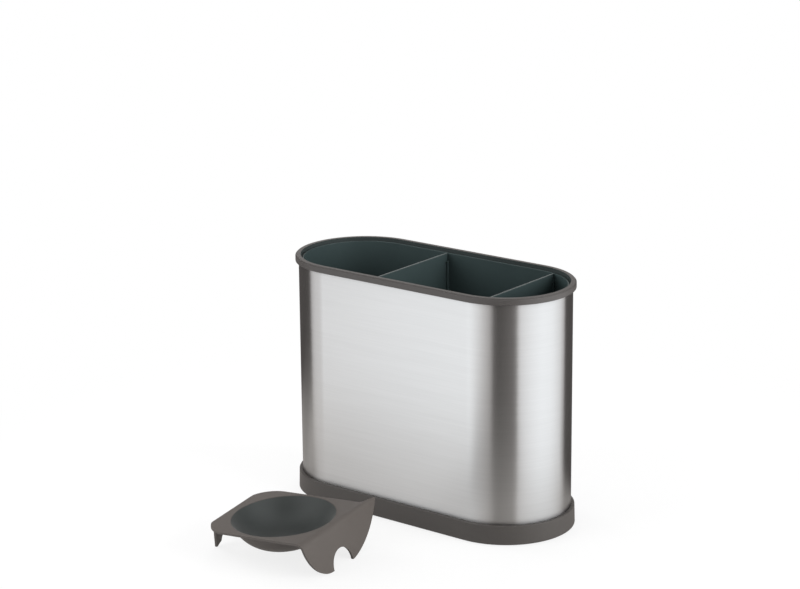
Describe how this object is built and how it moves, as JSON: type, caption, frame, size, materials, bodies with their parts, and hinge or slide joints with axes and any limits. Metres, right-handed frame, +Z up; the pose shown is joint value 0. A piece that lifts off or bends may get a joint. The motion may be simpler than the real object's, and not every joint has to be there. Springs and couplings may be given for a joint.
{
  "type": "utensil crock",
  "caption": "Oblong brushed steel utensil holder with plastic base, rim and divided lift-out bucket, and a spoon rest with a round dish on two bent wings.",
  "frame": {"origin": "centre of the crock on the surface it stands on", "axes": "+X along the crock's long side, +Y towards its back, +Z up; the spoon rest stands in front, towards -Y"},
  "size_m": [0.2318, 0.2377, 0.1828],
  "materials": {
    "brushed_steel": "brushed along its length",
    "rim_plastic": "satin moulded",
    "base_plastic": "satin moulded",
    "mat_rubber": "matt",
    "bucket_plastic": "satin moulded",
    "divider_plastic": "satin moulded",
    "rest_plastic": "satin moulded"
  },
  "bodies": {
    "crock": {"steel_shell": "brushed_steel", "top_rim": "rim_plastic", "base": "base_plastic", "non_slip_mat": "mat_rubber"},
    "bucket": {"inner_bucket": "bucket_plastic"},
    "left_divider": {"left_divider": "divider_plastic"},
    "right_divider": {"right_divider": "divider_plastic"},
    "spoon_rest": {"spoon_rest": "rest_plastic"}
  },
  "joints": [
    {"name": "bucket_lift", "type": "slide", "parent": "crock", "child": "bucket", "axis": [0, 0, 1], "range_m": [0, 0.18]},
    {"name": "left_divider_lift", "type": "slide", "parent": "bucket", "child": "left_divider", "axis": [0, 0, 1], "range_m": [0, 0.175]},
    {"name": "right_divider_lift", "type": "slide", "parent": "bucket", "child": "right_divider", "axis": [0, 0, 1], "range_m": [0, 0.175]},
    {"name": "spoon_rest_lift", "type": "slide", "parent": "crock", "child": "spoon_rest", "axis": [0, 0, 1], "range_m": [0, 0.2]}
  ]
}
